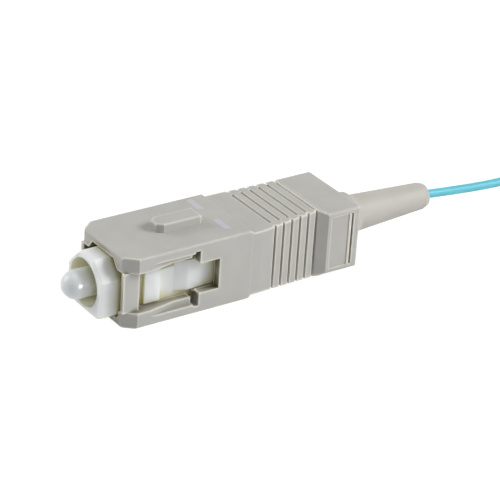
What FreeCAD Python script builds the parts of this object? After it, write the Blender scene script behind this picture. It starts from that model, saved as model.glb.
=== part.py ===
import FreeCAD, Part
import math
import os

# SC push-pull fibre connector on a 0.9 mm buffered pigtail.
#
# Millimetres. +X runs along the optical axis from the ferrule to the boot, +Z is up (the key's side).
# The origin is on the bottom face of the coupling sleeve, under the middle of its front section.
# Stations along the connector are given as the distance behind the sleeve's front face.

Vector = FreeCAD.Vector

# --- coupling sleeve (outer housing) ---------------------------------------
FRONT_LENGTH = 13.9
FRONT_WIDTH = 9.0
FRONT_HEIGHT = 7.4
FRONT_CHAMFER_LENGTH = 1.3
FRONT_CHAMFER_WIDTH = 1.1
EDGE_RADIUS = 0.18
FRONT_EDGE_RADIUS = 0.25
REAR_EDGE_RADIUS = 0.3
REAR_FACE_RADIUS = 0.15
KEY_EDGE_RADIUS = 0.1

GRIP_LENGTH = 13.0
GRIP_SIDE_STEP = 0.05
GRIP_TOP_STEP = 0.35
STEP_RAMP = 0.35
WAIST_START = 1.3
WAIST_SIDE_STEP = 0.75
WAIST_TOP_STEP = 0.05
STOP_RAMP = 0.9

GROOVE_COUNT = 6
FIRST_GROOVE = 2.95
GROOVE_PITCH = 1.04
GROOVE_WIDTH = 0.3
SIDE_GROOVE_DEPTH = 0.28
TOP_GROOVE_DEPTH = 0.2
TOP_GROOVE_LENGTH = 6.8

KEY_START = 5.5
KEY_LENGTH = 4.9
KEY_WIDTH = 1.9
KEY_HEIGHT = 0.9
KEY_NOSE_LENGTH = 0.65
KEY_NOSE_WIDTH = 0.9

WINDOW_START = 1.75
WINDOW_END = 7.55
WINDOW_HEIGHT = 4.2
BAR_THICKNESS = 0.4
RAIL_HEIGHT = 0.65
RAIL_DEPTH = 0.55
RAIL_RAMP_START = 2.7
RAIL_RAMP_END = 5.6
NOTCH_LENGTH = 0.6
NOTCH_HEIGHT = 5.9
REAR_WINDOW_END = 10.4
REAR_WINDOW_HEIGHT = 3.2
HOOK_SLOT_HEIGHT = 3.6
HOOK_SLOT_CLEARANCE = 0.15
HOOK_SLOT_END = 12.9

PANEL_START = 9.6
PANEL_LENGTH = 2.15
PANEL_HEIGHT = 5.6
PANEL_DEPTH = 0.1
REAR_SLOT_GAP = 0.25
REAR_SLOT_WIDTH = 0.26
REAR_SLOT_DEPTH = 0.5

CAVITY_CORNER_WIDTH = 1.15
CAVITY_CORNER_HEIGHT = 1.5
CAVITY_BOTTOM_CORNER = 0.3
CAVITY_END_PLAY = 0.15
REAR_BORE_PLAY = 0.3

# --- plug frame (inner housing) --------------------------------------------
PLUG_PROTRUSION = 2.0
PLUG_WIDTH = 5.8
PLUG_HEIGHT = 5.6
PLUG_TOP_CHAMFER = 1.75
PLUG_BOTTOM_CHAMFER = 0.3
PLUG_NOSE_INSET = 0.12
PLUG_NOSE_LENGTH = 0.4
PLUG_REAR = 17.4
SLIDE_CLEARANCE = 0.18
FRONT_BORE_DIAMETER = 4.9
SEAT_START = 4.3
SEAT_THICKNESS = 1.2
SEAT_HOLE_DIAMETER = 3.1
CHAMBER_DIAMETER = 4.8
LUG_START = 2.7
LUG_LENGTH = 1.7
LUG_RISE = 0.45
LUG_HEIGHT = 3.9
PAD_RAMP_START = 6.2
PAD_START = 7.5
PAD_END = 12.0
PAD_HEIGHT = 3.2
SNAP_WINDOW_START = 15.0
SNAP_WINDOW_LENGTH = 1.4
SNAP_WINDOW_WIDTH = 2.2

# --- ferrule, flange, spring -----------------------------------------------
FERRULE_TIP = -3.0
FERRULE_LENGTH = 10.5
FERRULE_DIAMETER = 2.5
FERRULE_TIP_CHAMFER = 0.35
FERRULE_BORE = 0.127
GLASS_DIAMETER = 0.125
GLASS_TAIL = 0.5
PRESS_GAP = 0.005
FLANGE_NOSE_LENGTH = 0.8
FLANGE_NOSE_DIAMETER = 2.95
FLANGE_HEX_FLATS = 3.9
FLANGE_HEX_LENGTH = 1.5
FLANGE_TAIL_LENGTH = 6.0
FLANGE_TAIL_DIAMETER = 2.6
SEAT_GAP = 0.02
SPRING_OUTER_DIAMETER = 4.3
SPRING_WIRE = 0.4
SPRING_WIRE_SIDES = 6
SPRING_TURNS = 6
SPRING_ARCS_PER_TURN = 3

# --- rear body, guide tube, boot -------------------------------------------
REAR_NOSE_START = 13.4
REAR_NOSE_CLEARANCE = 0.05
COLLAR_LENGTH = 1.6
TAIL_DIAMETER = 3.0
TAIL_LENGTH = 6.5
BARB_RISE = 0.15
BARB_LENGTH = 1.2
BARB_COUNT = 2
TAIL_BORE_CLEARANCE = 0.1
TAIL_BORE_DEPTH = 1.1
SNAP_LUG_RISE = 0.3
SNAP_LUG_PLAY = 0.1
GUIDE_OUTER_DIAMETER = 1.5
GUIDE_INNER_DIAMETER = 1.0
GUIDE_END = 29.0
FIT_GAP = 0.02

BOOT_BASE_DIAMETER = 4.7
BOOT_FLARE_START = 28.6
BOOT_FLARE_LENGTH = 1.3
BOOT_SHANK_DIAMETER = 3.74
BOOT_END_DIAMETER = 2.8
BOOT_END = 38.6
BOOT_END_ROUND = 0.8

# --- dust cap --------------------------------------------------------------
CAP_WALL = 0.16
CAP_FIT_GAP = 0.015
CAP_TIP = -4.3
CAP_SKIRT_END = 3.4

# --- cord ------------------------------------------------------------------
CORD_DIAMETER = 0.9
BUFFER_START = 9.3
COIL_CENTRE = (54.7, 2.0)
COIL_INNER_RADIUS = 2.7
COIL_OUTER_RADIUS = 8.1
COIL_HEIGHT = 4.5
TIE_THICKNESS = 0.25
TIE_WIDTH = 2.5
CORD_POINTS = [
    (31.65, 0.0, 3.70),
    (38.6, 0.0, 3.55),
    (43.1, -0.25, 3.62),
    (46.9, -1.5, 3.95),
    (49.78, -3.86, 4.30),
]

# --- how cuts are made -----------------------------------------------------
OVERRUN = 1.0
TOUCH = 1e-6

# --- worked out from the above ---------------------------------------------
HOUSING_LENGTH = FRONT_LENGTH + GRIP_LENGTH
FRONT_HALF_WIDTH = FRONT_WIDTH / 2
FRONT_HALF_HEIGHT = FRONT_HEIGHT / 2
GRIP_HALF_WIDTH = FRONT_HALF_WIDTH - GRIP_SIDE_STEP
GRIP_HALF_HEIGHT = FRONT_HALF_HEIGHT - GRIP_TOP_STEP
WAIST_HALF_WIDTH = FRONT_HALF_WIDTH - WAIST_SIDE_STEP
WAIST_HALF_HEIGHT = FRONT_HALF_HEIGHT - WAIST_TOP_STEP
AXIS_Z = FRONT_HEIGHT / 2
AXIS_DIRECTION = Vector(1, 0, 0)
SEAT_END = SEAT_START + SEAT_THICKNESS
FLANGE_FRONT = SEAT_END + SEAT_GAP
FLANGE_HEX_END = FLANGE_FRONT + FLANGE_HEX_LENGTH
FERRULE_REAR = FERRULE_TIP + FERRULE_LENGTH
COLLAR_END = PLUG_REAR + COLLAR_LENGTH
CAVITY_END = COLLAR_END + CAVITY_END_PLAY
TAIL_END = COLLAR_END + TAIL_LENGTH
REAR_BORE_DIAMETER = BOOT_BASE_DIAMETER + 2 * REAR_BORE_PLAY
WAIST_END = FIRST_GROOVE + (GROOVE_COUNT - 1) * GROOVE_PITCH + GROOVE_WIDTH / 2
HOOK_SLOT_HALF_WIDTH = PLUG_WIDTH / 2 + LUG_RISE + HOOK_SLOT_CLEARANCE
BAR_OUTER = HOOK_SLOT_HALF_WIDTH + BAR_THICKNESS


def station(distance):
    """X of a plane that lies this far behind the sleeve's front face."""
    return distance - FRONT_LENGTH / 2


# --- building blocks -------------------------------------------------------
def prism(points, direction):
    """A closed outline of 3-D points, extruded along a vector."""
    corners = [Vector(*p) for p in points]
    outline = Part.makePolygon(corners + corners[:1])
    return Part.Face(outline).extrude(Vector(*direction))


def block(start, end, y_low, y_high, z_low, z_high):
    """A box between two stations."""
    size = (end - start, y_high - y_low, z_high - z_low)
    return Part.makeBox(*size, Vector(station(start), y_low, z_low))


def rod(start, end, diameter):
    """A cylinder on the optical axis between two stations."""
    base = Vector(station(start), 0, AXIS_Z)
    return Part.makeCylinder(diameter / 2, end - start, base, AXIS_DIRECTION)


def turned(profile):
    """A half outline of (station, radius) points, turned about the optical axis."""
    points = [(station(s), 0, AXIS_Z + r) for s, r in profile]
    corners = [Vector(*p) for p in points]
    face = Part.Face(Part.makePolygon(corners + corners[:1]))
    return face.revolve(Vector(0, 0, AXIS_Z), AXIS_DIRECTION, 360)


def section_bar(start, end, half_width, half_height, top_corner, bottom_corner):
    """A bar on the axis between two stations, its corners cut by (width, height) chamfers."""
    low, high = AXIS_Z - half_height, AXIS_Z + half_height
    right = [
        (half_width - bottom_corner[0], low),
        (half_width, low + bottom_corner[1]),
        (half_width, high - top_corner[1]),
        (half_width - top_corner[0], high),
    ]
    left = [(-y, z) for y, z in reversed(right)]
    points = [(station(start), y, z) for y, z in right + left]
    return prism(points, (end - start, 0, 0))


def plug_bar(start, end):
    """The plug frame's outer section between two stations."""
    top = (PLUG_TOP_CHAMFER, PLUG_TOP_CHAMFER)
    bottom = (PLUG_BOTTOM_CHAMFER, PLUG_BOTTOM_CHAMFER)
    return section_bar(start, end, PLUG_WIDTH / 2, PLUG_HEIGHT / 2, top, bottom)


def cavity_bar(start, end):
    """The channel in the sleeve that the plug frame slides in."""
    half_width = PLUG_WIDTH / 2 + SLIDE_CLEARANCE
    half_height = PLUG_HEIGHT / 2 + SLIDE_CLEARANCE
    top = (CAVITY_CORNER_WIDTH, CAVITY_CORNER_HEIGHT)
    bottom = (CAVITY_BOTTOM_CORNER, CAVITY_BOTTOM_CORNER)
    return section_bar(start, end, half_width, half_height, top, bottom)


def both_sides(shape):
    """A shape on the +Y side together with its mirror image on the -Y side."""
    return [shape, shape.mirror(Vector(0, 0, 0), Vector(0, 1, 0))]


def above_and_below(shape):
    """A shape above the optical axis together with its mirror image below it."""
    return [shape, shape.mirror(Vector(0, 0, AXIS_Z), Vector(0, 0, 1))]


# --- coupling sleeve -------------------------------------------------------
def groove_station(index):
    return FRONT_LENGTH + FIRST_GROOVE + index * GROOVE_PITCH


def grip_half_size(distance, block_half, waist_half):
    """Half the grip's width or height at a station inside its tapered, grooved part."""
    start = FRONT_LENGTH + WAIST_START
    end = FRONT_LENGTH + WAIST_END
    share = (distance - start) / (end - start)
    return block_half + share * (waist_half - block_half)


def groove_section(index, block_half, waist_half, depth):
    """The four corners of one groove, open outwards, as (station, half size) points."""
    centre = groove_station(index)
    front = centre - GROOVE_WIDTH / 2
    rear = centre + GROOVE_WIDTH / 2
    floor = grip_half_size(centre, block_half, waist_half) - depth
    return [
        (front, grip_half_size(front, block_half, waist_half)),
        (centre - GROOVE_WIDTH / 4, floor),
        (centre + GROOVE_WIDTH / 4, floor),
        (rear, grip_half_size(rear, block_half, waist_half)),
    ]


def half_profile(front_half, block_half, waist_half, groove_depth):
    """The sleeve's half outline seen along Y or Z, from the front section to the rear face."""
    points = [
        (FRONT_LENGTH, front_half),
        (FRONT_LENGTH + STEP_RAMP, block_half),
        (FRONT_LENGTH + WAIST_START, block_half),
    ]
    if groove_depth:
        for index in range(GROOVE_COUNT):
            points += groove_section(index, block_half, waist_half, groove_depth)
    else:
        points.append((FRONT_LENGTH + WAIST_END, waist_half))
    points += [
        (FRONT_LENGTH + WAIST_END + STOP_RAMP, block_half),
        (HOUSING_LENGTH, block_half),
    ]
    return points


def sleeve_envelope():
    """The sleeve's outside: its plan outline crossed with its side outline."""
    plan = [
        (0, FRONT_HALF_WIDTH - FRONT_CHAMFER_WIDTH),
        (FRONT_CHAMFER_LENGTH, FRONT_HALF_WIDTH),
    ]
    plan += half_profile(FRONT_HALF_WIDTH, GRIP_HALF_WIDTH, WAIST_HALF_WIDTH, SIDE_GROOVE_DEPTH)
    side = [(0, FRONT_HALF_HEIGHT)]
    side += half_profile(FRONT_HALF_HEIGHT, GRIP_HALF_HEIGHT, WAIST_HALF_HEIGHT, 0)

    plan_points = [(station(s), y, 0) for s, y in plan]
    plan_points += [(station(s), -y, 0) for s, y in reversed(plan)]
    side_points = [(station(s), -FRONT_WIDTH, AXIS_Z + z) for s, z in side]
    side_points += [(station(s), -FRONT_WIDTH, AXIS_Z - z) for s, z in reversed(side)]
    upright = prism(plan_points, (0, 0, FRONT_HEIGHT))
    across = prism(side_points, (0, 2 * FRONT_WIDTH, 0))
    return upright.common(across)


def corner_rounding(start, end, half_width, half_height, radius):
    """What rounds off the upper +Y lengthwise corner of a rectangular section."""
    y, z = half_width - radius, AXIS_Z + half_height - radius
    corner = block(start, end, y, FRONT_WIDTH, z, 2 * FRONT_HEIGHT)
    base = Vector(station(start), y, z)
    return corner.cut(Part.makeCylinder(radius, end - start, base, AXIS_DIRECTION))


def front_rounding():
    """What rounds off the upper edge of the sleeve's front face."""
    radius = FRONT_EDGE_RADIUS
    z = FRONT_HEIGHT - radius
    edge = block(-OVERRUN, radius, -FRONT_WIDTH, FRONT_WIDTH, z, 2 * FRONT_HEIGHT)
    base = Vector(station(radius), -FRONT_WIDTH, z)
    return edge.cut(Part.makeCylinder(radius, 2 * FRONT_WIDTH, base, Vector(0, 1, 0)))


def rounded_envelope():
    """The sleeve's outside with its long corners, front edges and rear rim rounded."""
    front_end = FRONT_LENGTH + STEP_RAMP
    rear_start = FRONT_LENGTH + WAIST_END
    rear_end = HOUSING_LENGTH + OVERRUN
    corners = [
        corner_rounding(-OVERRUN, front_end, FRONT_HALF_WIDTH, FRONT_HALF_HEIGHT, EDGE_RADIUS),
        corner_rounding(rear_start, rear_end, GRIP_HALF_WIDTH, GRIP_HALF_HEIGHT, REAR_EDGE_RADIUS),
    ]
    cuts = above_and_below(front_rounding())
    for corner in corners:
        for side in both_sides(corner):
            cuts += above_and_below(side)
    body = sleeve_envelope().cut(cuts)
    rear = station(HOUSING_LENGTH)
    rim = [edge for edge in body.Edges if edge.BoundBox.XMin > rear - TOUCH]
    return body.makeFillet(REAR_FACE_RADIUS, rim)


def sleeve_key():
    """The polarity key: a bar with a tapered nose, on the sleeve's top face."""
    half = KEY_WIDTH / 2
    nose = KEY_NOSE_WIDTH / 2
    start = station(KEY_START)
    shoulder = start + KEY_NOSE_LENGTH
    end = start + KEY_LENGTH
    base = FRONT_HEIGHT - KEY_HEIGHT / 2
    right = [(start, -nose), (shoulder, -half), (end, -half)]
    left = [(x, -y) for x, y in reversed(right)]
    key = prism([(x, y, base) for x, y in right + left], (0, 0, 1.5 * KEY_HEIGHT))
    top = FRONT_HEIGHT + KEY_HEIGHT
    rim = [e for e in key.Edges if abs(e.BoundBox.ZMin - top) < TOUCH]
    return key.makeFillet(KEY_EDGE_RADIUS, rim)


def window_bar():
    """The upright at the front of a side window, which the front corner's chamfer leaves whole."""
    half = WINDOW_HEIGHT / 2
    return block(0, WINDOW_START, HOOK_SLOT_HALF_WIDTH, BAR_OUTER, AXIS_Z - half, AXIS_Z + half)


def side_openings():
    """What is cut through one side wall: window, cam rails, notch and rear window."""
    inside = PLUG_WIDTH / 2 - CAVITY_CORNER_WIDTH
    outside = FRONT_WIDTH
    half_window = WINDOW_HEIGHT / 2
    window = block(-OVERRUN, WINDOW_END, inside, outside, AXIS_Z - half_window, AXIS_Z + half_window)
    half_notch = NOTCH_HEIGHT / 2
    notch_end = WINDOW_END + NOTCH_LENGTH
    notch = block(WINDOW_END, notch_end, inside, outside, AXIS_Z - half_notch, AXIS_Z + half_notch)
    half_rear = REAR_WINDOW_HEIGHT / 2
    rear = block(notch_end, REAR_WINDOW_END, inside, outside, AXIS_Z - half_rear, AXIS_Z + half_rear)

    face = FRONT_HALF_WIDTH
    floor = face - RAIL_DEPTH
    rail_outline = [
        (RAIL_RAMP_START, face),
        (RAIL_RAMP_END, floor),
        (WINDOW_END, floor),
        (WINDOW_END, outside),
        (RAIL_RAMP_START, outside),
    ]
    rail_low = AXIS_Z + half_window
    rail = prism([(station(s), y, rail_low) for s, y in rail_outline], (0, 0, RAIL_HEIGHT))
    return [window, notch, rear] + above_and_below(rail)


def rear_panel():
    """The shallow side panel of the rear block and the narrow slot behind it."""
    face = GRIP_HALF_WIDTH
    start = FRONT_LENGTH + PANEL_START
    end = start + PANEL_LENGTH
    low, high = AXIS_Z - PANEL_HEIGHT / 2, AXIS_Z + PANEL_HEIGHT / 2
    panel = block(start, end, face - PANEL_DEPTH, FRONT_WIDTH, low, high)
    slot_start = end + REAR_SLOT_GAP
    slot_end = slot_start + REAR_SLOT_WIDTH
    slot = block(slot_start, slot_end, face - REAR_SLOT_DEPTH, FRONT_WIDTH, low, high)
    return [panel, slot]


def top_grooves():
    """The grip grooves of the top face, which stop short of its side edges."""
    half = TOP_GROOVE_LENGTH / 2
    grooves = []
    for index in range(GROOVE_COUNT):
        section = groove_section(index, GRIP_HALF_HEIGHT, WAIST_HALF_HEIGHT, TOP_GROOVE_DEPTH)
        front, rear = section[0], section[-1]
        outline = section + [(rear[0], FRONT_HEIGHT), (front[0], FRONT_HEIGHT)]
        points = [(station(s), -half, AXIS_Z + z) for s, z in outline]
        grooves.append(prism(points, (0, 2 * half, 0)))
    return grooves


def make_outer_housing():
    slot_half = HOOK_SLOT_HEIGHT / 2
    low, high = AXIS_Z - slot_half, AXIS_Z + slot_half
    hook_slot = block(-OVERRUN, HOOK_SLOT_END, 0, HOOK_SLOT_HALF_WIDTH, low, high)
    cuts = [
        cavity_bar(-OVERRUN, CAVITY_END),
        rod(CAVITY_END - OVERRUN, HOUSING_LENGTH + OVERRUN, REAR_BORE_DIAMETER),
    ]
    for cut in side_openings() + rear_panel() + [hook_slot]:
        cuts += both_sides(cut)
    for groove in top_grooves():
        cuts += above_and_below(groove)
    body = rounded_envelope().fuse(sleeve_key()).cut(cuts)
    return body.fuse(both_sides(window_bar())).removeSplitter()


# --- plug frame ------------------------------------------------------------
def side_lug(outline, height):
    """A raised latch feature on one side: its plan outline, centred on the axis height."""
    inside = FRONT_BORE_DIAMETER / 2 + SLIDE_CLEARANCE
    points = [(outline[0][0], inside)] + outline + [(outline[-1][0], inside)]
    low = AXIS_Z - height / 2
    return prism([(station(s), y, low) for s, y in points], (0, 0, height))


def make_plug_frame():
    side = PLUG_WIDTH / 2
    raised = side + LUG_RISE
    lug_end = LUG_START + LUG_LENGTH
    lug_outline = [(LUG_START, side), (LUG_START, raised), (lug_end, raised), (lug_end, side)]
    pad_outline = [
        (PAD_RAMP_START, side),
        (PAD_START, raised),
        (PAD_END - LUG_RISE, raised),
        (PAD_END, side),
    ]
    frame = plug_bar(-PLUG_PROTRUSION, PLUG_REAR)
    front = station(-PLUG_PROTRUSION)
    nose = [edge for edge in frame.Edges if edge.BoundBox.XMax < front + TOUCH]
    frame = frame.makeChamfer(PLUG_NOSE_LENGTH, PLUG_NOSE_INSET, nose)
    lug = side_lug(lug_outline, LUG_HEIGHT)
    pad = side_lug(pad_outline, PAD_HEIGHT)
    frame = frame.fuse(both_sides(lug) + both_sides(pad))
    snap_half = SNAP_WINDOW_WIDTH / 2
    snap = block(
        SNAP_WINDOW_START,
        SNAP_WINDOW_START + SNAP_WINDOW_LENGTH,
        -snap_half,
        snap_half,
        AXIS_Z,
        AXIS_Z + PLUG_HEIGHT,
    )
    bores = [
        rod(-PLUG_PROTRUSION - OVERRUN, SEAT_START, FRONT_BORE_DIAMETER),
        rod(SEAT_START - OVERRUN, SEAT_END + OVERRUN, SEAT_HOLE_DIAMETER),
        rod(SEAT_END, PLUG_REAR + OVERRUN, CHAMBER_DIAMETER),
    ]
    return frame.cut(bores + above_and_below(snap)).removeSplitter()


# --- ferrule set -----------------------------------------------------------
def make_ferrule():
    radius = FERRULE_DIAMETER / 2
    tip = radius - FERRULE_TIP_CHAMFER
    chamfer_end = FERRULE_TIP + FERRULE_TIP_CHAMFER * math.sqrt(3)
    body = turned([
        (FERRULE_TIP, 0),
        (FERRULE_TIP, tip),
        (chamfer_end, radius),
        (FERRULE_REAR, radius),
        (FERRULE_REAR, 0),
    ])
    return body.cut(rod(FERRULE_TIP - OVERRUN, FERRULE_REAR + OVERRUN, FERRULE_BORE))


def make_ferrule_flange():
    corner = FLANGE_HEX_FLATS / math.sqrt(3)
    angles = [math.radians(30 + 60 * k) for k in range(6)]
    x = station(FLANGE_FRONT)
    hexagon = [(x, corner * math.cos(a), AXIS_Z + corner * math.sin(a)) for a in angles]
    collar = prism(hexagon, (FLANGE_HEX_LENGTH, 0, 0))
    nose_start = FLANGE_FRONT - FLANGE_NOSE_LENGTH
    nose = rod(nose_start, FLANGE_FRONT + FLANGE_HEX_LENGTH / 2, FLANGE_NOSE_DIAMETER)
    tail_end = FLANGE_HEX_END + FLANGE_TAIL_LENGTH
    tail = rod(FLANGE_HEX_END - FLANGE_HEX_LENGTH / 2, tail_end, FLANGE_TAIL_DIAMETER)
    socket = rod(nose_start - OVERRUN, FERRULE_REAR, FERRULE_DIAMETER + 2 * PRESS_GAP)
    bore = rod(nose_start, tail_end + OVERRUN, GUIDE_INNER_DIAMETER)
    return collar.fuse([nose, tail]).cut([socket, bore]).removeSplitter()


def make_glass_fibre():
    return rod(FERRULE_TIP, FERRULE_REAR + GLASS_TAIL, GLASS_DIAMETER)


def make_spring():
    """A coil of six-sided wire between the flange's collar and the rear body's nose."""
    radius = (SPRING_OUTER_DIAMETER - SPRING_WIRE) / 2
    start = station(FLANGE_HEX_END + SPRING_WIRE / 2 + SEAT_GAP)
    end = station(REAR_NOSE_START - SPRING_WIRE / 2 - SEAT_GAP)

    def wire_centre(turn):
        angle = 2 * math.pi * turn
        x = start + (end - start) * turn / SPRING_TURNS
        return Vector(x, radius * math.cos(angle), AXIS_Z + radius * math.sin(angle))

    arcs = []
    step = 1 / SPRING_ARCS_PER_TURN
    for index in range(SPRING_TURNS * SPRING_ARCS_PER_TURN):
        ends = [wire_centre((index + share) * step) for share in (0, 0.5, 1)]
        arcs.append(Part.Arc(*ends).toShape())
    heading = arcs[0].tangentAt(arcs[0].FirstParameter)
    across = heading.cross(Vector(0, 1, 0)).normalize() * SPRING_WIRE / 2
    outward = across.cross(heading)
    turn_angles = [2 * math.pi * k / SPRING_WIRE_SIDES for k in range(SPRING_WIRE_SIDES)]
    corners = [wire_centre(0) + across * math.cos(a) + outward * math.sin(a) for a in turn_angles]
    section = Part.makePolygon(corners + corners[:1])
    return Part.Wire(arcs).makePipeShell([section], True, False)


# --- rear body, guide tube, boot -------------------------------------------
def tail_profile(gap):
    """Half outline of the barbed tail that the boot is pushed onto, grown by a gap."""
    radius = TAIL_DIAMETER / 2 + gap
    pitch = TAIL_LENGTH / (BARB_COUNT + 1)
    points = [(COLLAR_END - gap, 0), (COLLAR_END - gap, radius)]
    for index in range(BARB_COUNT):
        crest = COLLAR_END + pitch * (index + 0.5)
        points += [
            (crest, radius),
            (crest, radius + BARB_RISE),
            (crest + BARB_LENGTH, radius),
        ]
    points += [(TAIL_END + gap, radius), (TAIL_END + gap, 0)]
    return points


def make_rear_body():
    nose_diameter = CHAMBER_DIAMETER - 2 * REAR_NOSE_CLEARANCE
    nose = rod(REAR_NOSE_START, PLUG_REAR + COLLAR_LENGTH / 2, nose_diameter)
    collar = plug_bar(PLUG_REAR, COLLAR_END)
    tail = turned(tail_profile(0))
    lug_half = SNAP_WINDOW_WIDTH / 2 - SNAP_LUG_PLAY
    lug = block(
        SNAP_WINDOW_START + SNAP_LUG_PLAY,
        SNAP_WINDOW_START + SNAP_WINDOW_LENGTH - SNAP_LUG_PLAY,
        -lug_half,
        lug_half,
        AXIS_Z + nose_diameter / 4,
        AXIS_Z + CHAMBER_DIAMETER / 2 + SNAP_LUG_RISE,
    )
    body = collar.fuse([nose, tail] + above_and_below(lug))
    wide_bore = FLANGE_TAIL_DIAMETER + 2 * TAIL_BORE_CLEARANCE
    guide_bore = GUIDE_OUTER_DIAMETER + 2 * FIT_GAP
    bores = [
        rod(REAR_NOSE_START - OVERRUN, REAR_NOSE_START + TAIL_BORE_DEPTH, wide_bore),
        rod(REAR_NOSE_START, TAIL_END + OVERRUN, guide_bore),
    ]
    return body.cut(bores).removeSplitter()


def make_guide_tube():
    start = REAR_NOSE_START + TAIL_BORE_DEPTH
    tube = rod(start, GUIDE_END, GUIDE_OUTER_DIAMETER)
    return tube.cut(rod(start - OVERRUN, GUIDE_END + OVERRUN, GUIDE_INNER_DIAMETER))


def make_boot():
    """A soft sleeve: plain base, concave flare, long taper and a rounded end."""
    base = BOOT_BASE_DIAMETER / 2
    shank = BOOT_SHANK_DIAMETER / 2
    tip = BOOT_END_DIAMETER / 2
    start = COLLAR_END + FIT_GAP
    flare_end = BOOT_FLARE_START + BOOT_FLARE_LENGTH
    round_start = BOOT_END - BOOT_END_ROUND

    def point(distance, radius):
        return Vector(station(distance), 0, AXIS_Z + radius)

    drop = base - shank
    flare_mid = point(BOOT_FLARE_START + 0.35 * BOOT_FLARE_LENGTH, shank + 0.3 * drop)
    round_mid = point(BOOT_END - 0.3 * BOOT_END_ROUND, tip - 0.25 * BOOT_END_ROUND)
    round_end = point(BOOT_END, tip - 0.75 * BOOT_END_ROUND)
    edges = [
        Part.LineSegment(point(start, 0), point(start, base)),
        Part.LineSegment(point(start, base), point(BOOT_FLARE_START, base)),
        Part.Arc(point(BOOT_FLARE_START, base), flare_mid, point(flare_end, shank)),
        Part.LineSegment(point(flare_end, shank), point(round_start, tip)),
        Part.LineSegment(point(round_start, tip), round_mid),
        Part.LineSegment(round_mid, round_end),
        Part.LineSegment(round_end, point(BOOT_END, 0)),
        Part.LineSegment(point(BOOT_END, 0), point(start, 0)),
    ]
    outline = Part.Wire([edge.toShape() for edge in edges])
    body = Part.Face(outline).revolve(Vector(0, 0, AXIS_Z), AXIS_DIRECTION, 360)
    guide_bore = rod(start, GUIDE_END + FIT_GAP, GUIDE_OUTER_DIAMETER + 2 * FIT_GAP)
    cord_bore = rod(start, BOOT_END + OVERRUN, CORD_DIAMETER + 2 * FIT_GAP)
    return body.cut([turned(tail_profile(FIT_GAP)), guide_bore, cord_bore])


def make_fibre_buffer():
    return rod(BUFFER_START, BOOT_END, CORD_DIAMETER)


# --- dust cap --------------------------------------------------------------
def domed_rod(tip, end, diameter):
    """A rod on the axis whose front end is a half ball."""
    radius = diameter / 2
    ball = Part.makeSphere(radius, Vector(station(tip + radius), 0, AXIS_Z))
    return ball.fuse(rod(tip + radius, end, diameter))


def make_dust_cap():
    inner = FERRULE_DIAMETER + 2 * CAP_FIT_GAP
    shell = domed_rod(CAP_TIP, CAP_SKIRT_END, inner + 2 * CAP_WALL)
    return shell.cut(domed_rod(CAP_TIP + CAP_WALL, CAP_SKIRT_END + OVERRUN, inner)).removeSplitter()


# --- cord ------------------------------------------------------------------
def rounded_route(points):
    """Straight runs joined by tangent arcs, each as large as its two runs allow."""
    corners = [Vector(*p) for p in points]
    edges = []
    start = corners[0]
    for before, corner, after in zip(corners, corners[1:], corners[2:]):
        back = (before - corner).normalize()
        ahead = (after - corner).normalize()
        turn = math.pi - back.getAngle(ahead)
        reach = 0.45 * min((corner - before).Length, (after - corner).Length)
        radius = reach / math.tan(turn / 2)
        arc_start = corner + back * reach
        arc_end = corner + ahead * reach
        bisector = (back + ahead).normalize()
        arc_mid = corner + bisector * (radius / math.cos(turn / 2) - radius)
        edges.append(Part.LineSegment(start, arc_start).toShape())
        edges.append(Part.Arc(arc_start, arc_mid, arc_end).toShape())
        start = arc_end
        print("cord turn %.1f degrees, radius %.1f mm" % (math.degrees(turn), radius))
    edges.append(Part.LineSegment(start, corners[-1]).toShape())
    return Part.Wire(edges)


def make_pigtail_cord():
    path = rounded_route(CORD_POINTS)
    start = Vector(*CORD_POINTS[0])
    heading = Vector(*CORD_POINTS[1]) - start
    section = Part.Wire(Part.makeCircle(CORD_DIAMETER / 2, start, heading))
    tube = path.makePipeShell([section], True, False)
    expected = math.pi * CORD_DIAMETER ** 2 / 4 * path.Length
    print("cord tube %.2f mm long, volume %.4f against %.4f" % (path.Length, tube.Volume, expected))
    return tube


def coil_ring(margin, angle=360):
    """The ring that holds the coil's turns, grown by a margin, through an angle."""
    low = TIE_THICKNESS - margin
    high = TIE_THICKNESS + COIL_HEIGHT + margin
    inner = COIL_INNER_RADIUS - margin
    outer = COIL_OUTER_RADIUS + margin
    corners = [(inner, low), (outer, low), (outer, high), (inner, high)]
    face = Part.Face(Part.makePolygon([Vector(r, 0, z) for r, z in corners + corners[:1]]))
    return face.revolve(Vector(0, 0, 0), Vector(0, 0, 1), angle)


def make_cord_coil():
    ring = coil_ring(0)
    ring.translate(Vector(COIL_CENTRE[0], COIL_CENTRE[1], 0))
    return ring


def make_coil_tie():
    """A thin band once round the coil's bundle, at its far side."""
    mean_radius = (COIL_INNER_RADIUS + COIL_OUTER_RADIUS) / 2
    angle = math.degrees(TIE_WIDTH / mean_radius)
    band = coil_ring(TIE_THICKNESS, angle).cut(coil_ring(0, 360))
    band.rotate(Vector(0, 0, 0), Vector(0, 0, 1), -angle / 2)
    band.translate(Vector(COIL_CENTRE[0], COIL_CENTRE[1], 0))
    return band


PIECES = {
    "outer_housing": make_outer_housing,
    "plug_frame": make_plug_frame,
    "ferrule": make_ferrule,
    "ferrule_flange": make_ferrule_flange,
    "glass_fibre": make_glass_fibre,
    "spring": make_spring,
    "rear_body": make_rear_body,
    "guide_tube": make_guide_tube,
    "boot": make_boot,
    "fibre_buffer": make_fibre_buffer,
    "dust_cap": make_dust_cap,
    "pigtail_cord": make_pigtail_cord,
    "cord_coil": make_cord_coil,
    "coil_tie": make_coil_tie,
}


def main():
    os.makedirs("parts", exist_ok=True)
    for name, make in PIECES.items():
        shape = make()
        shape.exportStep(os.path.join("parts", name + ".step"))
        facts = (name, shape.isValid(), len(shape.Solids), shape.Volume)
        print("%-15s valid %s, solids %d, volume %.3f" % facts)


main()
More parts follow.
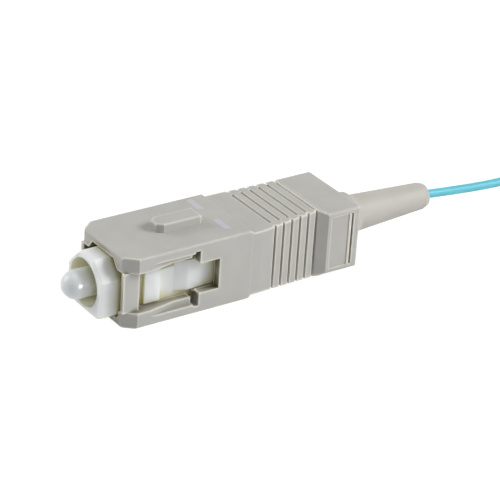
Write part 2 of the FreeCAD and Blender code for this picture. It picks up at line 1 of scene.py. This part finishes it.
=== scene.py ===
"""The push-pull fibre connector, dressed for its photograph.

Sizes are in metres, in the frame's axes: +X runs from the ferrule to the boot, +Z is up.
"""
import bpy
import math
from mathutils import Matrix, Vector

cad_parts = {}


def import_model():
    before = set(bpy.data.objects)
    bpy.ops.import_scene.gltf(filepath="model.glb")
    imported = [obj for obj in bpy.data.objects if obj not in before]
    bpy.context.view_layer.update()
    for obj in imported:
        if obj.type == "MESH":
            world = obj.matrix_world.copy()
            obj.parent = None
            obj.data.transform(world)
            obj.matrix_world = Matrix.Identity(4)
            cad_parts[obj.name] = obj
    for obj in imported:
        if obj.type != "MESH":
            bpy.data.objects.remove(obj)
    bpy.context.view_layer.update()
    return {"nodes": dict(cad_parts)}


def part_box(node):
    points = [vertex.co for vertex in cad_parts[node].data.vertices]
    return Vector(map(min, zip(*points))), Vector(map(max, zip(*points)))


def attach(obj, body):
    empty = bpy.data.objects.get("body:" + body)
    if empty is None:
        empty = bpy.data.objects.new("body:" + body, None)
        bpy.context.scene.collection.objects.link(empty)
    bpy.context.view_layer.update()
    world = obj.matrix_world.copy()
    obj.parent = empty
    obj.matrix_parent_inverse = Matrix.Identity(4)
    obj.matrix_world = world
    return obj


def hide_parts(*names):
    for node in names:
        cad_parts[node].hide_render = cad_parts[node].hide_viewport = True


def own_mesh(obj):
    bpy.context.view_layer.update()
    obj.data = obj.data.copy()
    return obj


MM = 0.001
BLACK = (0, 0, 0, 1)
WHITE = (1, 1, 1, 1)
# Sockets of Blender's Mix node when it mixes colours.
MIX_FACTOR, MIX_A, MIX_B = 0, 6, 7
MIX_RESULT = 2

# --- camera ------------------------------------------------------------------
CAMERA_PLACE = (-117.65 * MM, -176.86 * MM, 115.97 * MM)
CAMERA_AZIMUTH = math.radians(-35.84)
CAMERA_ELEVATION = math.radians(27.48)
CAMERA_ROLL = math.radians(3.84)
CAMERA_LENS = 180
CAMERA_SENSOR = 36
CAMERA_CLIP_START = 0.01

# --- sizes shared with the solids --------------------------------------------
SLEEVE_FRONT = -6.95 * MM
SLEEVE_TOP = 7.4 * MM
WINDOW_END = 3.45 * MM
GRIP_START = 6.95 * MM

# --- cord --------------------------------------------------------------------
CORD_LENGTH = 1.0
CORD_DIAMETER = 0.9 * MM
CORD_POINTS = [
    (31.65, 0.0, 3.70),
    (38.6, 0.0, 2.95),
    (43.1, -0.25, 3.00),
    (46.9, -1.5, 3.60),
    (49.78, -3.86, 4.30),
]
CORD_BEVEL_RESOLUTION = 5
CORD_CURVE_RESOLUTION = 4
COIL_CENTRE = Vector((54.7, 2.0, 0)) * MM
COIL_INNER_RADIUS = 2.7 * MM
COIL_OUTER_RADIUS = 8.1 * MM
COIL_HEIGHT = 4.5 * MM
TIE_THICKNESS = 0.25 * MM
POINTS_PER_TURN = 16

# --- painted line on the sleeve's top ----------------------------------------
STRIPE_STATION = 12.1 * MM
STRIPE_WIDTH = 0.7 * MM
STRIPE_INNER_END = 1.2 * MM
STRIPE_OUTER_END = 3.5 * MM
STRIPE_SHIFT = 0.45 * MM
STRIPE_THICKNESS = 0.012 * MM
STRIPE_CORNER_RADIUS = STRIPE_WIDTH / 4
STRIPE_CORNER_POINTS = 6

# --- ferrule spring ----------------------------------------------------------
SPRING_WIRE = 0.4 * MM
SPRING_TURNS = 6
SPRING_POINTS_PER_TURN = 24
SPRING_WIRE_SIDES = 12
SPRING_RINGS = SPRING_TURNS * SPRING_POINTS_PER_TURN + 1

# --- surface detail ----------------------------------------------------------
BLOTCH = 3 * MM
BLOTCH_SPAN = (0.3, 0.7)
GRAIN = 0.09 * MM
GRAIN_DETAIL = 4
GLOSS_PATCH = 6 * GRAIN
# How far the painted gap shade looks for nearby surfaces, in metres, on most parts and on the
# housing.
GAP_REACH = 1.5 * MM
HOUSING_GAP_REACH = 2.0 * MM
# Painted highlight on convex edges: how far it reaches and the nearness span over which it
# comes in.
EDGE_REACH = 0.3 * MM
EDGE_SPAN = (0.1, 0.5)
OCCLUSION_SAMPLES = 8
# The band of the housing that gets painted gap shade, its heights in shares of the sleeve's
# height.
PAINTED_SHADE_HEIGHTS = [(0.1, BLACK), (0.24, WHITE), (0.96, WHITE), (0.99, BLACK)]
# How much of the painted gap shade the grip's grooves get.
GRIP_PAINTED_SHADE = (0.3, 0.3, 0.3, 1)
PLASTIC_IOR = 1.5
PLASTIC_SCATTER = (1.0, 0.94, 0.78)
GLASS_IOR = 1.46
METAL_MARK_DISTORTION = 1.5
METAL_MARK_DEPTH = 0.002 * MM
METAL_MARK_STRENGTH = 0.5

# --- studio ------------------------------------------------------------------
WORLD_STRENGTH = 0.18
FLOOR_SIZE = 3.0
FLOOR_COLOUR = (0.76, 0.76, 0.76, 1)
FLOOR_ROUGHNESS = 0.9
FLOOR_GLOW = 1.2
FLOOR_CAMERA_SHARE = 0.8
LAMP_DISTANCE = 0.5
# Each lamp: the direction it shines from, its diameter in metres, its watts.
LAMPS = {
    "softbox_key": ((0.6, -0.5, 0.58), 0.25, 1.75),
    "softbox_front": ((-0.6, 0.68, 0.42), 0.25, 1.25),
    "softbox_top": ((-0.1, 0.2, 1.0), 0.3, 0.45),
    "softbox_low": ((-0.1, -0.96, 0.3), 0.2, 0.15),
    "glint": ((0.1, -0.99, 0.11), 0.06, 3.6),
}


# --- nodes and materials -----------------------------------------------------
def srgb(red, green, blue):
    """A colour picked on a 0 to 255 screen scale, as linear RGBA."""
    shares = [value / 255 for value in (red, green, blue)]
    linear = [c / 12.92 if c <= 0.04045 else ((c + 0.055) / 1.055) ** 2.4 for c in shares]
    return (*linear, 1)


class Surface:
    """A material and short ways to add nodes to it."""

    def __init__(self, name):
        self.material = bpy.data.materials.new(name)
        self.material.use_nodes = True
        self.tree = self.material.node_tree
        self.shader = self.tree.nodes["Principled BSDF"]

    def node(self, kind, **values):
        """A new node with its sockets and settings filled in by name."""
        made = self.tree.nodes.new(kind)
        for key, value in values.items():
            if key in made.inputs:
                made.inputs[key].default_value = value
            else:
                setattr(made, key, value)
        return made

    def link(self, output, target):
        self.tree.links.new(output, target)

    def place(self):
        """Object coordinates, in metres."""
        return self.node("ShaderNodeTexCoord").outputs["Object"]

    def noise(self, size, detail=2.0):
        """Noise whose blotches are about this size in metres."""
        texture = self.node("ShaderNodeTexNoise", Scale=1 / size, Detail=detail)
        self.link(self.place(), texture.inputs["Vector"])
        return texture.outputs["Fac"]

    def ramp(self, value, stops):
        """The colours that (position, colour) stops give to a value from 0 to 1."""
        ramp = self.node("ShaderNodeValToRGB")
        elements = ramp.color_ramp.elements
        while len(elements) < len(stops):
            elements.new(1)
        for element, (position, colour) in zip(elements, stops):
            element.position = position
            element.color = colour
        self.link(value, ramp.inputs["Fac"])
        return ramp.outputs["Color"]

    def nearness(self, reach, inside):
        """0 on open faces, up to 1 beside a convex edge (inside) or down in a gap (outside)."""
        seen = self.node(
            "ShaderNodeAmbientOcclusion",
            Distance=reach,
            inside=inside,
            samples=OCCLUSION_SAMPLES,
        )
        hidden = self.node("ShaderNodeMath", operation="SUBTRACT")
        hidden.inputs[0].default_value = 1
        self.link(seen.outputs["AO"], hidden.inputs[1])
        return hidden.outputs["Value"]

    def tint(self, colour, share, span, other):
        """A colour that turns into another as a share goes through a span."""
        mix = self.node("ShaderNodeMix", data_type="RGBA")
        fade = self.node("ShaderNodeMapRange")
        fade.inputs["From Min"].default_value, fade.inputs["From Max"].default_value = span
        self.link(share, fade.inputs["Value"])
        self.link(fade.outputs["Result"], mix.inputs[MIX_FACTOR])
        self.link(colour, mix.inputs[MIX_A])
        mix.inputs[MIX_B].default_value = other
        return mix.outputs[MIX_RESULT]

    def along(self, axis, start, end, stops):
        """A ramp along one axis, its stops given in shares of the way from start to end."""
        split = self.node("ShaderNodeSeparateXYZ")
        share = self.node("ShaderNodeMapRange")
        share.inputs["From Min"].default_value = start
        share.inputs["From Max"].default_value = end
        self.link(self.place(), split.inputs["Vector"])
        self.link(split.outputs[axis], share.inputs["Value"])
        return self.ramp(share.outputs["Result"], stops)

    def both(self, mask, other):
        """A mask that is white where both masks are."""
        product = self.node("ShaderNodeMath", operation="MULTIPLY")
        self.link(mask, product.inputs[0])
        self.link(other, product.inputs[1])
        return product.outputs["Value"]

    def paint_shade(self, colour, share, stops, mask=None):
        """Painted shade: a colour darkened by what a ramp gives for a share, where the mask is
        white.
        """
        mix = self.node("ShaderNodeMix", data_type="RGBA", blend_type="MULTIPLY")
        mix.inputs[MIX_FACTOR].default_value = 1
        if mask:
            self.link(mask, mix.inputs[MIX_FACTOR])
        self.link(colour, mix.inputs[MIX_A])
        self.link(self.ramp(share, stops), mix.inputs[MIX_B])
        return mix.outputs[MIX_RESULT]

    def translucent(self, weight, depth, radius=PLASTIC_SCATTER):
        """Light goes a little way into the plastic, and by default red goes furthest."""
        self.shader.inputs["Subsurface Weight"].default_value = weight
        self.shader.inputs["Subsurface Radius"].default_value = radius
        self.shader.inputs["Subsurface Scale"].default_value = depth

    def bump(self, value, depth, strength=1.0):
        """Relief this deep, in metres."""
        bump = self.node("ShaderNodeBump", Distance=depth, Strength=strength)
        self.link(value, bump.inputs["Height"])
        self.link(bump.outputs["Normal"], self.shader.inputs["Normal"])


def moulded(
    name,
    dark,
    light,
    roughness,
    gaps=None,
    reach=GAP_REACH,
    mask=None,
    edge=None,
    depth=0.002 * MM,
):
    """Moulded plastic with slow colour change, a fine grain and uneven gloss.

    Its gaps can get painted shade, everywhere or where a mask says, and its convex edges a
    painted highlight.
    """
    surface = Surface(name)
    colour = surface.ramp(surface.noise(BLOTCH), list(zip(BLOTCH_SPAN, (dark, light))))
    # Painted shade: the colour darkens where the surface lies in gaps and hollows.
    if gaps:
        where = mask(surface) if mask else None
        colour = surface.paint_shade(colour, surface.nearness(reach, False), gaps, where)
    # Painted highlight: convex edges turn paler.
    if edge:
        colour = surface.tint(colour, surface.nearness(EDGE_REACH, True), EDGE_SPAN, edge)
    surface.link(colour, surface.shader.inputs["Base Color"])
    low, high = roughness
    gloss = surface.node("ShaderNodeMapRange")
    gloss.inputs["To Min"].default_value = low
    gloss.inputs["To Max"].default_value = high
    surface.link(surface.noise(GLOSS_PATCH), gloss.inputs["Value"])
    surface.link(gloss.outputs["Result"], surface.shader.inputs["Roughness"])
    surface.bump(surface.noise(GRAIN, detail=GRAIN_DETAIL), depth)
    surface.shader.inputs["IOR"].default_value = PLASTIC_IOR
    return surface


def housing_painted_shade_mask(surface):
    """Where the housing's gaps get painted shade.

    Not by the floor or on the top face, and less in the grip's grooves than in the windows.
    """
    high = surface.along("Z", 0, SLEEVE_TOP, PAINTED_SHADE_HEIGHTS)
    ahead = surface.along("X", WINDOW_END, GRIP_START, [(0, WHITE), (1, GRIP_PAINTED_SHADE)])
    return surface.both(high, ahead)


def housing_material():
    surface = moulded(
        "beige_housing", srgb(178, 177, 172), srgb(184, 183, 178), roughness=(0.5, 0.6),
        # Painted shade: tan to brown where the gaps, grooves and windows lie in shade.
        gaps=[(0.2, WHITE), (0.38, srgb(170, 161, 135)), (0.7, srgb(128, 115, 85))],
        reach=HOUSING_GAP_REACH,
        mask=housing_painted_shade_mask,
        # Painted highlight: a cream line along the convex edges.
        edge=srgb(228, 225, 213),
    )
    surface.translucent(0.2, 0.4 * MM)
    return surface.material


def boot_material():
    surface = moulded(
        "beige_boot", srgb(183, 180, 173), srgb(189, 186, 179), roughness=(0.5, 0.6),
        # Painted shade: a little darker and warmer in the gaps.
        gaps=[(0.35, WHITE), (0.75, srgb(180, 170, 150))],
    )
    surface.translucent(0.2, 0.5 * MM)
    return surface.material


def frame_material():
    surface = moulded(
        "white_frame", srgb(233, 237, 236), srgb(239, 243, 242), roughness=(0.3, 0.4),
        # Painted shade, warm as light through the plastic: cream, then yellow in the gaps.
        gaps=[(0.2, WHITE), (0.42, srgb(243, 238, 208)), (0.85, srgb(225, 205, 130))],
        depth=0.001 * MM,
    )
    surface.translucent(0.8, 1.5 * MM, radius=(1.0, 1.0, 0.9))
    return surface.material


def cap_material():
    surface = moulded(
        "milky_cap", srgb(226, 231, 231), srgb(231, 235, 235), roughness=(0.27, 0.31),
        # Painted shade: a pale cream where the cap sits in the frame's bore.
        gaps=[(0.2, WHITE), (0.7, srgb(232, 226, 190))],
        depth=0.0005 * MM,
    )
    surface.translucent(0.4, 0.3 * MM, radius=(1.0, 1.0, 0.95))
    return surface.material


def ceramic_material():
    return moulded(
        "zirconia", srgb(238, 236, 228), srgb(244, 242, 235), roughness=(0.08, 0.14),
        depth=0.0003 * MM,
    ).material


def metal(name, colour, roughness, groove):
    """Turned or drawn metal with fine marks around the axis."""
    surface = Surface(name)
    surface.shader.inputs["Metallic"].default_value = 1.0
    surface.shader.inputs["Base Color"].default_value = colour
    surface.shader.inputs["Roughness"].default_value = roughness
    wave = surface.node(
        "ShaderNodeTexWave", Scale=1 / groove, Distortion=METAL_MARK_DISTORTION
    )
    surface.link(surface.place(), wave.inputs["Vector"])
    surface.bump(wave.outputs["Fac"], METAL_MARK_DEPTH, METAL_MARK_STRENGTH)
    return surface.material


def tube_material():
    surface = moulded(
        "clear_tube", srgb(228, 228, 222), srgb(236, 236, 231), roughness=(0.15, 0.25),
        depth=0.0005 * MM,
    )
    surface.shader.inputs["Transmission Weight"].default_value = 0.6
    return surface.material


def glass_material():
    surface = moulded(
        "fibre_glass", srgb(235, 245, 245), srgb(245, 250, 250), roughness=(0.02, 0.05),
        depth=0.0001 * MM,
    )
    surface.shader.inputs["Transmission Weight"].default_value = 1.0
    surface.shader.inputs["IOR"].default_value = GLASS_IOR
    return surface.material


def cord_material():
    surface = moulded(
        "aqua_buffer", srgb(82, 187, 205), srgb(94, 197, 214), roughness=(0.38, 0.48),
        depth=0.001 * MM,
    )
    surface.translucent(0.1, 0.2 * MM)
    return surface.material


def tie_material():
    return moulded(
        "white_tie", srgb(225, 225, 222), srgb(232, 232, 229), roughness=(0.4, 0.5),
    ).material


def paint_material():
    return moulded(
        "pale_paint", srgb(189, 187, 194), srgb(194, 192, 200), roughness=(0.35, 0.45),
        depth=0.001 * MM,
    ).material


def dress(frame, materials):
    """Gives each named CAD solid its material."""
    for node, material in materials.items():
        for slot in frame["nodes"][node].material_slots:
            slot.material = material


# --- pieces ------------------------------------------------------------------
def new_mesh(name, vertices, faces, body, material):
    """A mesh piece that rides on a body and has one material."""
    mesh = bpy.data.meshes.new(name)
    mesh.from_pydata(vertices, [], faces)
    mesh.update()
    mesh.materials.append(material)
    piece = bpy.data.objects.new(name, mesh)
    bpy.context.scene.collection.objects.link(piece)
    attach(piece, body)
    return piece


def stripe_outline(side):
    """Points round one half of the painted line, anticlockwise, with rounded corners."""
    x = SLEEVE_FRONT + STRIPE_STATION
    inner = STRIPE_INNER_END + side * STRIPE_SHIFT
    outer = STRIPE_OUTER_END + side * STRIPE_SHIFT
    radius = STRIPE_CORNER_RADIUS
    centres = [
        (x + STRIPE_WIDTH / 2 - radius, outer - radius, 0),
        (x - STRIPE_WIDTH / 2 + radius, outer - radius, 90),
        (x - STRIPE_WIDTH / 2 + radius, inner + radius, 180),
        (x + STRIPE_WIDTH / 2 - radius, inner + radius, 270),
    ]
    outline = []
    for centre_x, centre_y, start in centres:
        for k in range(STRIPE_CORNER_POINTS):
            angle = math.radians(start + 90 * k / (STRIPE_CORNER_POINTS - 1))
            px = centre_x + radius * math.cos(angle)
            py = centre_y + radius * math.sin(angle)
            outline.append((px, side * py))
    if side < 0:
        outline.reverse()
    return outline


def stripe(side, material):
    """One half of the painted line across the sleeve's top."""
    outline = stripe_outline(side)
    count = len(outline)
    low = SLEEVE_TOP - STRIPE_THICKNESS
    high = SLEEVE_TOP + STRIPE_THICKNESS
    vertices = [(px, py, low) for px, py in outline] + [(px, py, high) for px, py in outline]
    faces = [list(range(count, 2 * count)), list(reversed(range(count)))]
    faces += [[k, (k + 1) % count, count + (k + 1) % count, count + k] for k in range(count)]
    name = "stripe_left" if side > 0 else "stripe_right"
    new_mesh(name, vertices, faces, "sleeve", material)


def spring_wire_points(low, high):
    """Rings of points round the wire of a spring that fills a box, from its low X end on."""
    axis_y = (low.y + high.y) / 2
    axis_z = (low.z + high.z) / 2
    radius = (high.z - low.z - SPRING_WIRE) / 2
    start = low.x + SPRING_WIRE / 2
    pitch = (high.x - low.x - SPRING_WIRE) / SPRING_TURNS
    points = []
    for ring in range(SPRING_RINGS):
        turns = ring / SPRING_POINTS_PER_TURN
        out = Vector((0, math.cos(2 * math.pi * turns), math.sin(2 * math.pi * turns)))
        centre = Vector((start + pitch * turns, axis_y, axis_z)) + radius * out
        for side in range(SPRING_WIRE_SIDES):
            angle = 2 * math.pi * side / SPRING_WIRE_SIDES
            along = Vector((-math.sin(angle), 0, 0))
            points.append(centre + SPRING_WIRE / 2 * (math.cos(angle) * out + along))
    return points


def spring_wire_faces():
    """The wire's skin between its rings of points, and a cap at each end."""
    faces = []
    for ring in range(SPRING_RINGS - 1):
        for side in range(SPRING_WIRE_SIDES):
            here = ring * SPRING_WIRE_SIDES + side
            beside = ring * SPRING_WIRE_SIDES + (side + 1) % SPRING_WIRE_SIDES
            faces.append([here, beside, beside + SPRING_WIRE_SIDES, here + SPRING_WIRE_SIDES])
    last = (SPRING_RINGS - 1) * SPRING_WIRE_SIDES
    faces.append(list(reversed(range(SPRING_WIRE_SIDES))))
    faces.append(list(range(last, last + SPRING_WIRE_SIDES)))
    return faces


def compression_spring(material):
    """The ferrule's coil spring, which in the real plug gets shorter as the ferrule is pushed
    in; here it keeps its rest length and rides with the ferrule.
    """
    low, high = (Vector(corner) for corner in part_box("spring"))
    vertices = spring_wire_points(low, high)
    faces = spring_wire_faces()
    piece = new_mesh(
        "compression_spring", vertices, faces, "ferrule_set", material
    )
    smooth = [len(face) == 4 for face in faces]
    piece.data.polygons.foreach_set("use_smooth", smooth)
    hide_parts("spring")
    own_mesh(piece)


def coil_points():
    """The coil's turns, from the top down: flat spirals that wind in and out by turns."""
    radius_out = COIL_OUTER_RADIUS - CORD_DIAMETER / 2
    radius_in = COIL_INNER_RADIUS + CORD_DIAMETER / 2
    columns = round((radius_out - radius_in) / CORD_DIAMETER) + 1
    layers = round(COIL_HEIGHT / CORD_DIAMETER)
    top = TIE_THICKNESS + COIL_HEIGHT - CORD_DIAMETER / 2
    start = Vector(CORD_POINTS[-1]) * MM - COIL_CENTRE
    angle = math.atan2(start.y, start.x)
    step = 2 * math.pi / POINTS_PER_TURN
    points_per_layer = (columns - 1) * POINTS_PER_TURN
    points = []
    for layer in range(layers):
        inwards = layer % 2 == 0
        z = top - layer * CORD_DIAMETER
        for k in range(points_per_layer):
            share = k / points_per_layer
            across = share if inwards else 1 - share
            points.append((angle, radius_out - across * (radius_out - radius_in), z))
            angle += step
        if layer < layers - 1:
            radius = radius_in if inwards else radius_out
            for k in range(POINTS_PER_TURN):
                points.append((angle, radius, z - CORD_DIAMETER * k / POINTS_PER_TURN))
                angle += step
    return [COIL_CENTRE + Vector((r * math.cos(a), r * math.sin(a), z)) for a, r, z in points]


def line_length(points):
    return sum((b - a).length for a, b in zip(points, points[1:]))


def pigtail(material):
    """The buffered fibre: its route from the boot, then the coil's turns, cut to length."""
    points = [Vector(p) * MM for p in CORD_POINTS]
    for point in coil_points()[1:]:
        if line_length(points) >= CORD_LENGTH:
            break
        points.append(point)
    curve = bpy.data.curves.new("pigtail", "CURVE")
    curve.dimensions = "3D"
    curve.bevel_depth = CORD_DIAMETER / 2
    curve.bevel_resolution = CORD_BEVEL_RESOLUTION
    curve.use_fill_caps = True
    curve.resolution_u = CORD_CURVE_RESOLUTION
    spline = curve.splines.new("NURBS")
    spline.points.add(len(points) - 1)
    for target, point in zip(spline.points, points):
        target.co = (*point, 1)
    spline.order_u = 3
    spline.use_endpoint_u = True
    curve.materials.append(material)
    piece = bpy.data.objects.new("pigtail", curve)
    bpy.context.scene.collection.objects.link(piece)
    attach(piece, "plug")
    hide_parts("pigtail_cord", "cord_coil")


# --- stage -------------------------------------------------------------------
def seen_ray(tree):
    """1 where a camera, mirror or see-through ray looks, 0 for light that bounces."""
    path = tree.nodes.new("ShaderNodeLightPath")
    total = path.outputs["Is Camera Ray"]
    for name in ("Is Glossy Ray", "Is Transmission Ray"):
        larger = tree.nodes.new("ShaderNodeMath")
        larger.operation = "MAXIMUM"
        tree.links.new(total, larger.inputs[0])
        tree.links.new(path.outputs[name], larger.inputs[1])
        total = larger.outputs[0]
    return total


def make_world():
    """A dim even light that looks white."""
    world = bpy.data.worlds.new("studio")
    world.use_nodes = True
    bpy.context.scene.world = world
    tree = world.node_tree
    light = tree.nodes["Background"]
    light.inputs["Color"].default_value = WHITE
    light.inputs["Strength"].default_value = WORLD_STRENGTH
    white = tree.nodes.new("ShaderNodeBackground")
    white.inputs["Strength"].default_value = 1.0
    mix = tree.nodes.new("ShaderNodeMixShader")
    tree.links.new(seen_ray(tree), mix.inputs["Fac"])
    tree.links.new(light.outputs[0], mix.inputs[1])
    tree.links.new(white.outputs[0], mix.inputs[2])
    tree.links.new(mix.outputs[0], tree.nodes["World Output"].inputs["Surface"])


def make_floor():
    """A pale floor that glows a little where it is looked at, so that it fades into white."""
    half = FLOOR_SIZE / 2
    mesh = bpy.data.meshes.new("floor")
    corners = [(-half, -half, 0), (half, -half, 0), (half, half, 0), (-half, half, 0)]
    mesh.from_pydata(corners, [], [(0, 1, 2, 3)])
    surface = Surface("pale_floor")
    tree = surface.tree
    surface.shader.inputs["Base Color"].default_value = FLOOR_COLOUR
    surface.shader.inputs["Roughness"].default_value = FLOOR_ROUGHNESS
    glow = surface.node("ShaderNodeEmission", Strength=FLOOR_GLOW)
    share = surface.node("ShaderNodeMath", operation="MULTIPLY")
    share.inputs[1].default_value = FLOOR_CAMERA_SHARE
    surface.link(seen_ray(tree), share.inputs[0])
    mix = surface.node("ShaderNodeMixShader")
    surface.link(share.outputs[0], mix.inputs["Fac"])
    surface.link(surface.shader.outputs[0], mix.inputs[1])
    surface.link(glow.outputs[0], mix.inputs[2])
    surface.link(mix.outputs[0], tree.nodes["Material Output"].inputs["Surface"])
    mesh.materials.append(surface.material)
    floor = bpy.data.objects.new("floor", mesh)
    bpy.context.scene.collection.objects.link(floor)


def make_lights():
    """Round softboxes at one distance, and a small lamp that only shows in gloss."""
    for name, (direction, size, watts) in LAMPS.items():
        light = bpy.data.lights.new(name, "AREA")
        light.shape = "DISK"
        light.size = size
        light.energy = watts
        lamp = bpy.data.objects.new(name, light)
        lamp.location = Vector(direction).normalized() * LAMP_DISTANCE
        lamp.rotation_euler = Vector(direction).to_track_quat("Z", "Y").to_euler()
        lamp.visible_diffuse = name != "glint"
        bpy.context.scene.collection.objects.link(lamp)


def make_camera():
    """The camera as fitted to the photograph: place, two angles, roll and lens."""
    azimuth, elevation, roll = CAMERA_AZIMUTH, CAMERA_ELEVATION, CAMERA_ROLL
    back = Vector((
        math.sin(azimuth) * math.cos(elevation),
        -math.cos(azimuth) * math.cos(elevation),
        math.sin(elevation),
    ))
    level = Vector((math.cos(azimuth), math.sin(azimuth), 0))
    upright = back.cross(level)
    right = math.cos(roll) * level + math.sin(roll) * upright
    up = math.cos(roll) * upright - math.sin(roll) * level
    data = bpy.data.cameras.new("camera")
    data.lens = CAMERA_LENS
    data.sensor_width = CAMERA_SENSOR
    data.clip_start = CAMERA_CLIP_START
    camera = bpy.data.objects.new("camera", data)
    turn = Matrix((right, up, back)).transposed().to_4x4()
    camera.matrix_world = Matrix.Translation(CAMERA_PLACE) @ turn
    bpy.context.scene.collection.objects.link(camera)
    bpy.context.scene.camera = camera


def main():
    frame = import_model()
    bpy.context.scene.view_settings.view_transform = "Standard"
    make_camera()
    make_world()
    make_floor()
    make_lights()
    white = frame_material()
    aqua = cord_material()
    turned = metal("flange_metal", srgb(200, 198, 192), roughness=0.3, groove=0.2 * MM)
    drawn = metal("spring_steel", srgb(190, 190, 188), roughness=0.25, groove=0.1 * MM)
    dress(frame, {
        "outer_housing": housing_material(),
        "plug_frame": white,
        "rear_body": white,
        "ferrule": ceramic_material(),
        "ferrule_flange": turned,
        "glass_fibre": glass_material(),
        "guide_tube": tube_material(),
        "boot": boot_material(),
        "fibre_buffer": aqua,
        "dust_cap": cap_material(),
        "coil_tie": tie_material(),
    })
    paint = paint_material()
    for side in (1, -1):
        stripe(side, paint)
    compression_spring(drawn)
    pigtail(aqua)


main()
